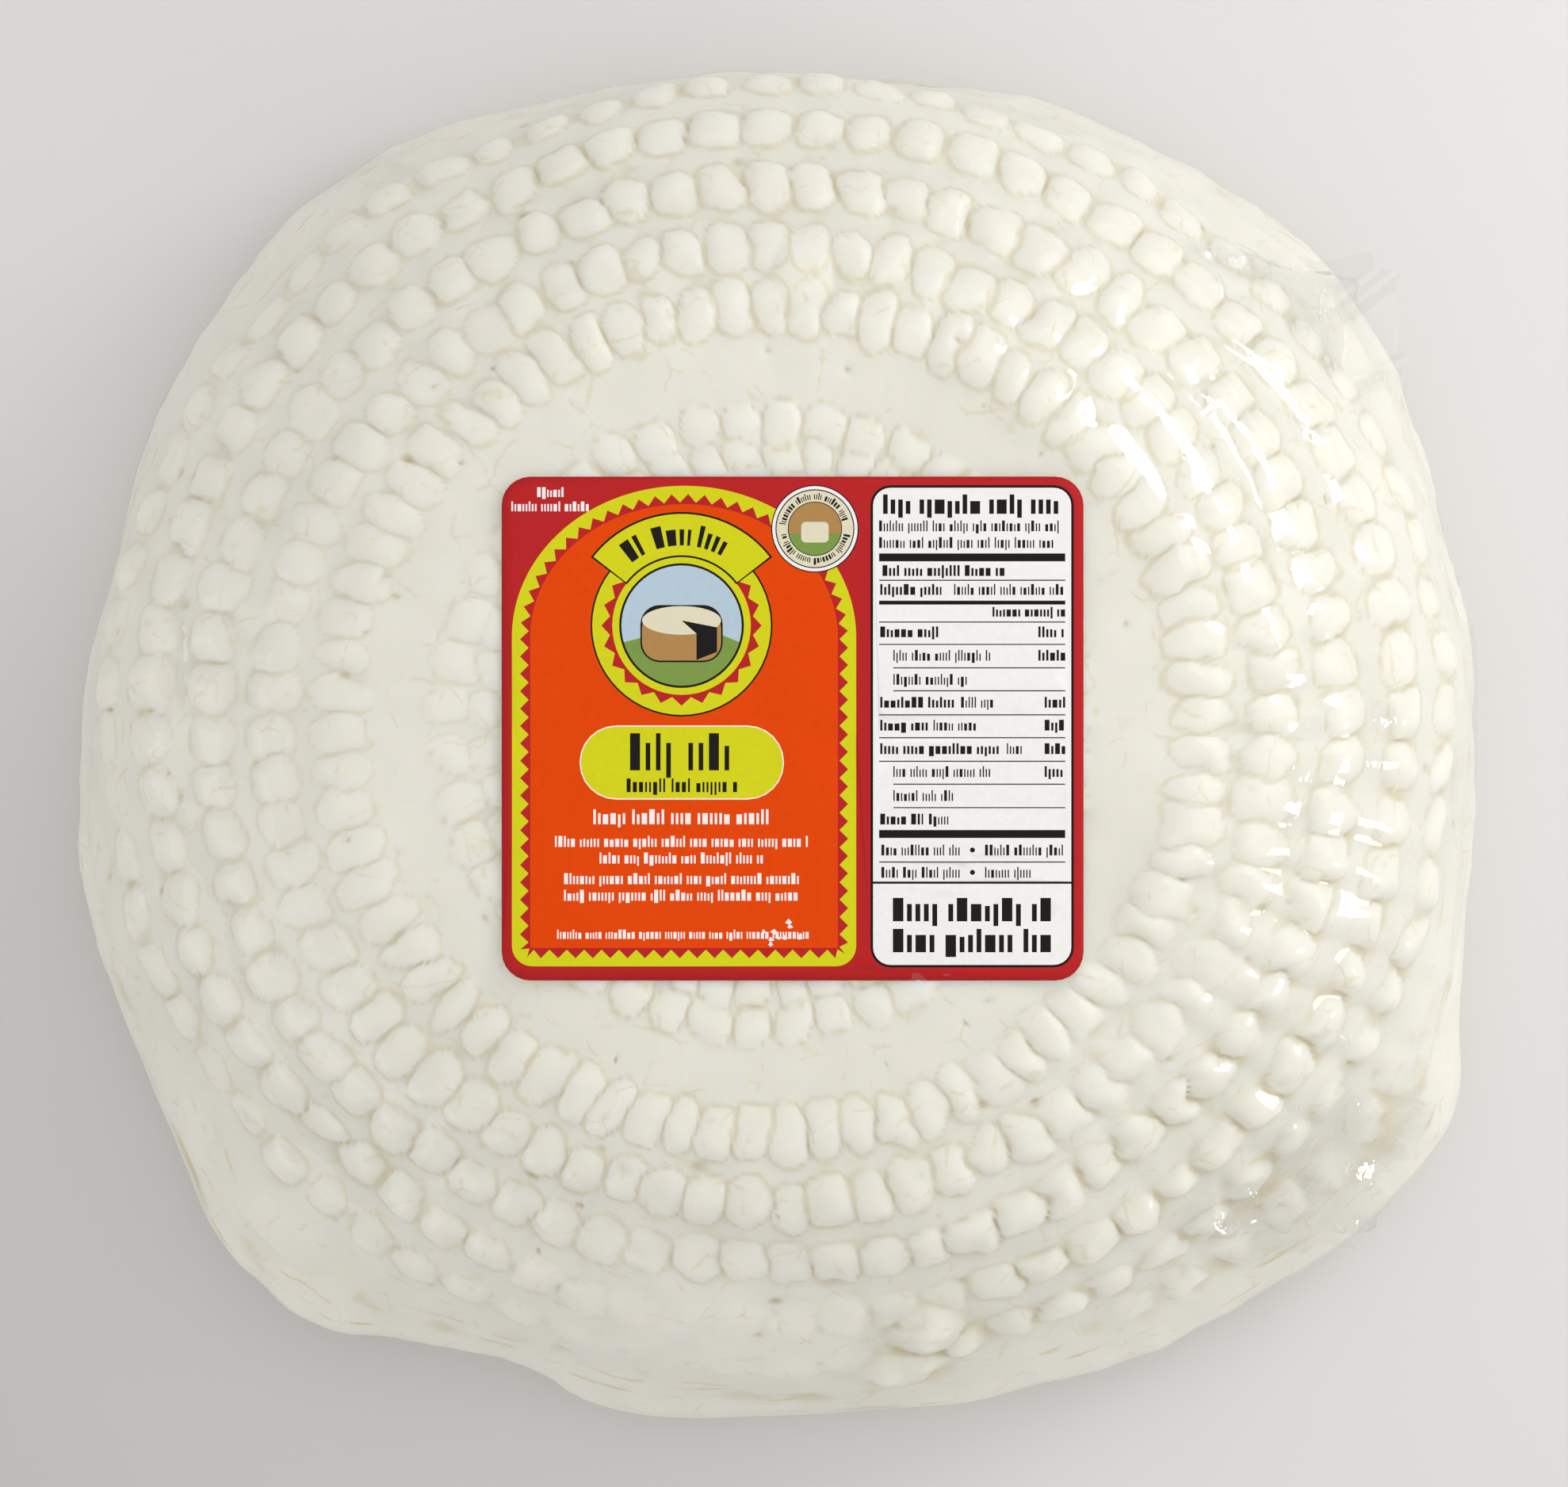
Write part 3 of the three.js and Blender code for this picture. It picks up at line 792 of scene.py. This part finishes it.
PANEL_RULES = [  # height, left end and thickness
    (29.9, 15.1, 1.4), (-18.4, 15.1, 1.4), (22.0, 15.1, 0.7), (25.9, 15.1, 0.2), (18.6, 15.1, 0.2),
    (14.7, 15.1, 0.2), (10.6, 17.6, 0.2), (6.6, 17.6, 0.2), (2.4, 15.1, 0.2), (-1.6, 15.1, 0.2),
    (-5.7, 15.1, 0.2), (-9.7, 17.6, 0.2), (-13.8, 17.6, 0.2), (-23.3, 15.1, 0.2),
]


def oblong(left, bottom, right, top, corner=0.0):
    """The outline of a rectangle, with round corners where corner isn't 0."""
    if not corner:
        return [(left, bottom), (right, bottom), (right, top), (left, top)]
    middles = [(right - corner, bottom + corner, -90), (right - corner, top - corner, 0),
               (left + corner, top - corner, 90), (left + corner, bottom + corner, 180)]
    return [point for x, y, start in middles for point in arc((x, y), corner, start, start + 90, 7)]


def arc(middle, radius, start, end, count):
    """Points along an arc, between two angles in degrees."""
    angles = np.radians(np.linspace(start, end, count))
    return [(middle[0] + radius * math.cos(a), middle[1] + radius * math.sin(a)) for a in angles]


def disc(middle, radius, count=56):
    return arc(middle, radius, 0, 360 * (1 - 1 / count), count)


def sector(middle, inner, outer, start, end):
    """The outline of part of a ring, between two angles in degrees."""
    count = max(2, round((end - start) / 4))
    return arc(middle, outer, start, end, count) + arc(middle, inner, end, start, count)


def star(middle, inner, outer, teeth):
    """A disc with pointed teeth."""
    tips, dips = disc(middle, outer, teeth), arc(middle, inner, 180 / teeth, 360 - 180 / teeth, teeth)
    return [point for pair in zip(tips, dips) for point in pair]


def arch(inset, step, teeth=0.0):
    """The outline of the round-topped front panel, inset from its edge, with pointed teeth if asked."""
    left, right, top, spring, bottom, corner = ARCH.values()
    middle, half = (left + right) / 2, (right - left) / 2
    path = arc((right - corner, bottom + corner), corner, -90, 0, 12)
    path += [(middle + half * math.cos(a), spring + (top - spring) * math.sin(a))
             for a in np.linspace(0, math.pi, 90)]
    path += arc((left + corner, bottom + corner), corner, 180, 270, 12)
    path = np.array(path + path[:1])
    along = np.concatenate([[0], np.cumsum(np.linalg.norm(np.diff(path, axis=0), axis=1))])
    count = 2 * round(along[-1] / step / 2)
    even = np.linspace(0, along[-1], count, endpoint=False)
    points = np.column_stack([np.interp(even, along, path[:, k]) for k in (0, 1)])
    way = np.roll(points, -1, 0) - np.roll(points, 1, 0)
    inward = np.column_stack([-way[:, 1], way[:, 0]]) / np.linalg.norm(way, axis=1)[:, None]
    depth = inset + teeth * (np.arange(count) % 2)
    return (points + inward * depth[:, None]).tolist()


def strokes(random, start, end, height, boldness):
    """The strokes of a line of dummy type, which is no alphabet's: left, right, bottom and top of each."""
    made = []
    place, word = start, random.integers(4, 9)
    while place < end - 0.12 * height:
        wide = boldness * height * random.choice([0.14, 0.14, 0.3])
        low = 0.0 if random.random() < 0.93 else -0.2 * height
        tall = height * random.choice([0.74, 0.74, 0.74, 0.74, 0.66, 1.0]) if place > start else height
        made.append((place, min(place + wide, end), low, tall))
        place += wide + height * 0.15
        word -= 1
        if word == 0:
            place += 0.32 * height
            word = random.integers(4, 9)
    return made


def type_line(random, ink, middle, start, end, height, boldness):
    base = middle - height / 2
    return [(ink, oblong(left, base + low, right, base + tall))
            for left, right, low, tall in strokes(random, start, end, height, boldness)]


def type_arc(random, ink, middle, radius, start, end, height, boldness):
    """As type_line(), but clockwise round an arc from one angle to another."""
    length = math.radians(start - end) * radius
    return [(ink, sector(middle, radius + low, radius + tall, start - math.degrees(right / radius),
                         start - math.degrees(left / radius)))
            for left, right, low, tall in strokes(random, 0, length, height, boldness)]


def medallion_art(random):
    """A cut cheese on a green field in a toothed ring, with a banner of dummy type over it."""
    x, y = MEDALLION
    hills = arc(MEDALLION, 10.5, 196, 344, 30) + [(x + 6, y - 1.2), (x + 1, y - 0.3), (x - 5, y - 1.6)]
    top = [(x + 6.9 * math.cos(a), y + 0.9 + 2.5 * math.sin(a)) for a in np.linspace(0, TURN, 40)[:-1]]
    cut = [(x, y + 0.9), (x + 2.6, y - 1.4), (x + 2.6, y - 6.0), (x + 6.2, y - 4.6), (x + 6.2, y - 0.3)]
    art = [("black", disc(MEDALLION, 15.9)), ("yellow", disc(MEDALLION, 15.6)),
           ("red", star(MEDALLION, 12.6, 14.0, 24)), ("yellow", disc(MEDALLION, 12.1)),
           ("black", disc(MEDALLION, 10.9)), ("sky", disc(MEDALLION, 10.5)), ("green", hills),
           ("black", oblong(x - 7.2, y - 6.4, x + 7.2, y + 3.6, 3.4)),
           ("tan", oblong(x - 6.9, y - 6.1, x + 6.9, y + 2.6, 3.1)), ("cream", top), ("black", cut),
           ("black", sector(MEDALLION, 11.95, 19.85, 37, 143)),
           ("yellow", sector(MEDALLION, 12.3, 19.5, 38, 142))]
    for start, end in ((128, 113), (108, 84), (79, 60)):
        art += type_arc(random, "black", MEDALLION, 14, start, end, 3.8, 1.3)
    return art


def badge_art(random):
    """A small round badge, with dummy type round a cream block on a green field."""
    x, y = BADGE
    art = [("black", disc(BADGE, 7.65)), ("white", disc(BADGE, 7.45)), ("black", disc(BADGE, 6.9)),
           ("cream", disc(BADGE, 6.7)), ("black", disc(BADGE, 4.75)), ("tan", disc(BADGE, 4.6)),
           ("green", arc(BADGE, 4.6, 190, 350, 20)),
           ("cream", oblong(x - 2.4, y - 2.4, x + 2.4, y + 1.2, 0.8))]
    for start, end in ((172, 8), (350, 190)):
        art += type_arc(random, "black", BADGE, 5.1, start, end, 1.2, 1.0)
    return art


def small_sketch(random):
    """A cluster of small white marks, low on the front panel."""
    art = []
    for _ in range(11):
        x, y = random.uniform(-5.6, 2.2), random.uniform(-38.0, -32.2)
        left, low, right, high = random.uniform(0.25, 0.75, 4) * (1, 0.5, 1, 1)
        art.append(("white", [(x - left, y), (x, y - low), (x + right, y), (x, y + high)]))
    return art


def front_art(random):
    """The front panel: a toothed arch with a medallion, a badge, a name plate and lines of dummy type."""
    art = [("yellow", arch(0, 0.9)), ("red", arch(1.4, 1.52, 1.5)), ("orange", arch(3.2, 0.9))]
    art += medallion_art(random) + badge_art(random)
    art += [("white", oblong(-37.2, -12.4, -1.5, 0.55, 6.4)),
            ("yellow", oblong(-37.0, -12.2, -1.7, 0.35, 6.2))]
    art += type_line(random, "black", -4.05, -28.4, -10.4, 6.5, 0.9)
    art += type_line(random, "black", -9.9, -29.0, -9.7, 2.4, 1.0)
    for line in FRONT_TYPE:
        art += type_line(random, "white", *line)
    return art + small_sketch(random)


def panel_art(random):
    """The white panel at the right: a table of dummy type between rules."""
    art = [("black", oblong(13.6, -41.7, 49.1, 42.5, 3.5)),
           ("white", oblong(14.05, -41.25, 48.65, 42.05, 3.05)), ("black", oblong(14.0, -27.1, 48.7, -26.7))]
    art += [("black", oblong(left, middle - thick / 2, 47.6, middle + thick / 2))
            for middle, left, thick in PANEL_RULES]
    for line in PANEL_TYPE:
        art += type_line(random, "black", *line)
    art += [("black", disc((31.4, middle), 0.45, 12)) for middle in (-21.2, -25.1)]
    return art


def lie_on(film, x, y):
    """The height at which a stiff sheet lies on the film, at points on the flat top."""
    crest = blurred(slid(rolled(film, 15, np.maximum), 5, np.maximum), 7, 2)
    height = GRID["points"][..., 2] + crest
    angle = np.arctan2(y, x) % TURN
    radius = np.hypot(x, y) / (1 + OVALITY * np.cos(2 * angle))
    column = np.round(angle / TURN * COLUMNS).astype(int) % COLUMNS
    top = int(np.argmax(GRID["radius"] > 80))
    row = np.interp(radius, GRID["radius"][:top], np.arange(top))
    low = np.floor(row).astype(int)
    share = row - low
    return height[low, column] * (1 - share) + height[low + 1, column] * share


def label(film):
    """The printed label: one thin sheet over the film, whose faces each take the ink printed on them."""
    random = np.random.default_rng(40)
    half = (LABEL_HIGH - LABEL_LOW)[:2] / 2
    middle = (LABEL_HIGH + LABEL_LOW)[:2] / 2
    art = [("red", oblong(-half[0], -half[1], half[0], half[1], 5))] + front_art(random) + panel_art(random)
    points, outlines = [], []
    for _, outline in art:
        outlines.append(list(range(len(points), len(points) + len(outline))))
        points += outline
    across, up = (np.arange(-edge + 2.3, edge - 1, 2.6) for edge in half)
    points += [(x, y) for x in across for y in up]
    found = delaunay_2d_cdt([Vector(point) for point in points], [], outlines, 0, 0.002)
    plan = np.array([tuple(point) for point in found[0]])
    faces = [(tuple(corner), max(inside)) for corner, inside in zip(found[2], found[5]) if inside]
    height = lie_on(film, plan[:, 0] + middle[0], plan[:, 1] + middle[1]) + LABEL_GAP
    upper = np.column_stack([plan + middle, height + PAPER])
    lower = np.column_stack([plan + middle, height])
    count = len(plan)
    skin = [corner for corner, _ in faces]
    back = [tuple(c + count for c in reversed(corner)) for corner in skin]
    edges = dict.fromkeys(edge for corner in skin for edge in zip(corner, corner[1:] + corner[:1]))
    rim = [(b, a, a + count, b + count) for a, b in edges if (b, a) not in edges]
    inks = list(dict.fromkeys(ink for ink, _ in art))
    paper = len(inks)
    picks = [inks.index(art[top][0]) for _, top in faces] + [paper] * (len(back) + len(rim))
    materials = [coated_print(ink) for ink in inks] + [label_paper()]
    sheet = mesh_object("label_sheet", np.vstack([upper, lower]), skin + back + rim, materials, picks)
    return finish_piece(sheet, "label")


# ---------------------------------------------------------------- stage

CAMERA_RISE = 1100.0  # above the label
VIEW_WIDTH = 273.4  # seen at the label's height
VIEW_CENTRE = (1.0, -3.2)


def stage():
    """A pale table, a softbox and two small bright windows to the right, a fill card and a bright room."""
    half = 3000
    table_corners = [(-half, -half, 0), (half, -half, 0), (half, half, 0), (-half, half, 0)]
    floor = mesh_object("table_top", table_corners, [(0, 1, 2, 3)], [pale_table()])
    world = bpy.data.worlds.new("room")
    world.use_nodes = True
    tree = world.node_tree
    background = tree.nodes["Background"]
    background.inputs["Color"].default_value = linear("#fffefe")
    way = node(tree, "ShaderNodeTexCoord").outputs["Generated"]
    rise = node(tree, "ShaderNodeSeparateXYZ", Vector=way).outputs["Z"]
    ceiling = node(tree, "ShaderNodeMapRange", {"From Max": 0.45, "To Min": 0.64, "To Max": 0.8},
                   Value=rise)
    tree.links.new(ceiling.outputs["Result"], background.inputs["Strength"])
    bpy.context.scene.world = world
    softbox("key_light", (420, 290, 440), (0, 0, 60), (720, 540), 0.42)
    softbox("window", (440, 275, 350), (20, 10, 60), (260, 90), 8.5)
    softbox("low_window", (660, -150, 190), (0, 0, 50), (120, 180), 5.5)
    softbox("fill_card", (-900, -420, 260), (0, 0, 40), (1200, 420), 0.5)


def pale_table():
    """A pale matt table top, darkened a little towards the lower left, away from the window, by painted
    shade.
    """
    material, tree, output = new_material("pale_table")
    where = node(tree, "ShaderNodeTexCoord").outputs["Object"]
    cloudy = node(tree, "ShaderNodeTexNoise", {"Scale": 1 / (180 * MM), "Detail": 2.0}, Vector=where)
    colour = ramp(tree, cloudy.outputs["Fac"], [(0.3, "#dfdedc"), (0.7, "#e2e1df")])
    # Painted shade: darker towards the lower left, away from the window
    across = node(tree, "ShaderNodeVectorMath", {"operation": "DOT_PRODUCT"}, i0=where)
    across.inputs[1].default_value = (1.0, 1.0, 0.0)
    fade = node(tree, "ShaderNodeMapRange",
                {"From Min": -0.3, "From Max": -0.09, "To Min": 0.78, "To Max": 1.0},
                Value=across.outputs["Value"])
    shaded = node(tree, "ShaderNodeHueSaturation", Color=colour, Value=fade.outputs["Result"])
    top = node(tree, "ShaderNodeBsdfPrincipled", {"Roughness": 0.6})
    tree.links.new(shaded.outputs["Color"], top.inputs["Base Color"])
    tree.links.new(top.outputs["BSDF"], output.inputs["Surface"])
    return material


def softbox(name, place, aim, size, radiance):
    """A rectangular area light at a place, aimed at a point, both in mm, with its size and radiance."""
    light = bpy.data.lights.new(name, "AREA")
    light.shape = "RECTANGLE"
    light.size, light.size_y = size[0] * MM, size[1] * MM
    light.energy = radiance * math.pi * light.size * light.size_y
    thing = bpy.data.objects.new(name, light)
    bpy.context.scene.collection.objects.link(thing)
    way = np.array(aim, float) - np.array(place, float)
    thing.location = Vector(place) * MM
    thing.rotation_euler = Vector(way).to_track_quat("-Z", "Y").to_euler()
    return thing


def overhead_camera():
    data = bpy.data.cameras.new("camera")
    data.sensor_width = 36
    data.lens = 36 * CAMERA_RISE / VIEW_WIDTH
    data.clip_end = 20
    thing = bpy.data.objects.new("camera", data)
    thing.location = (VIEW_CENTRE[0] * MM, VIEW_CENTRE[1] * MM, (LABEL_HIGH[2] + CAMERA_RISE) * MM)
    bpy.context.scene.collection.objects.link(thing)
    bpy.context.scene.camera = thing


# ---------------------------------------------------------------- build

overhead_camera()
stage()
RELIEF, OUTLINES = cheese_relief()
cheese_wheel(RELIEF, OUTLINES)
FILM = film_relief(RELIEF)
film_webs(FILM, RELIEF, shrink_film())
label(FILM)
bpy.context.scene.view_settings.view_transform = "Standard"
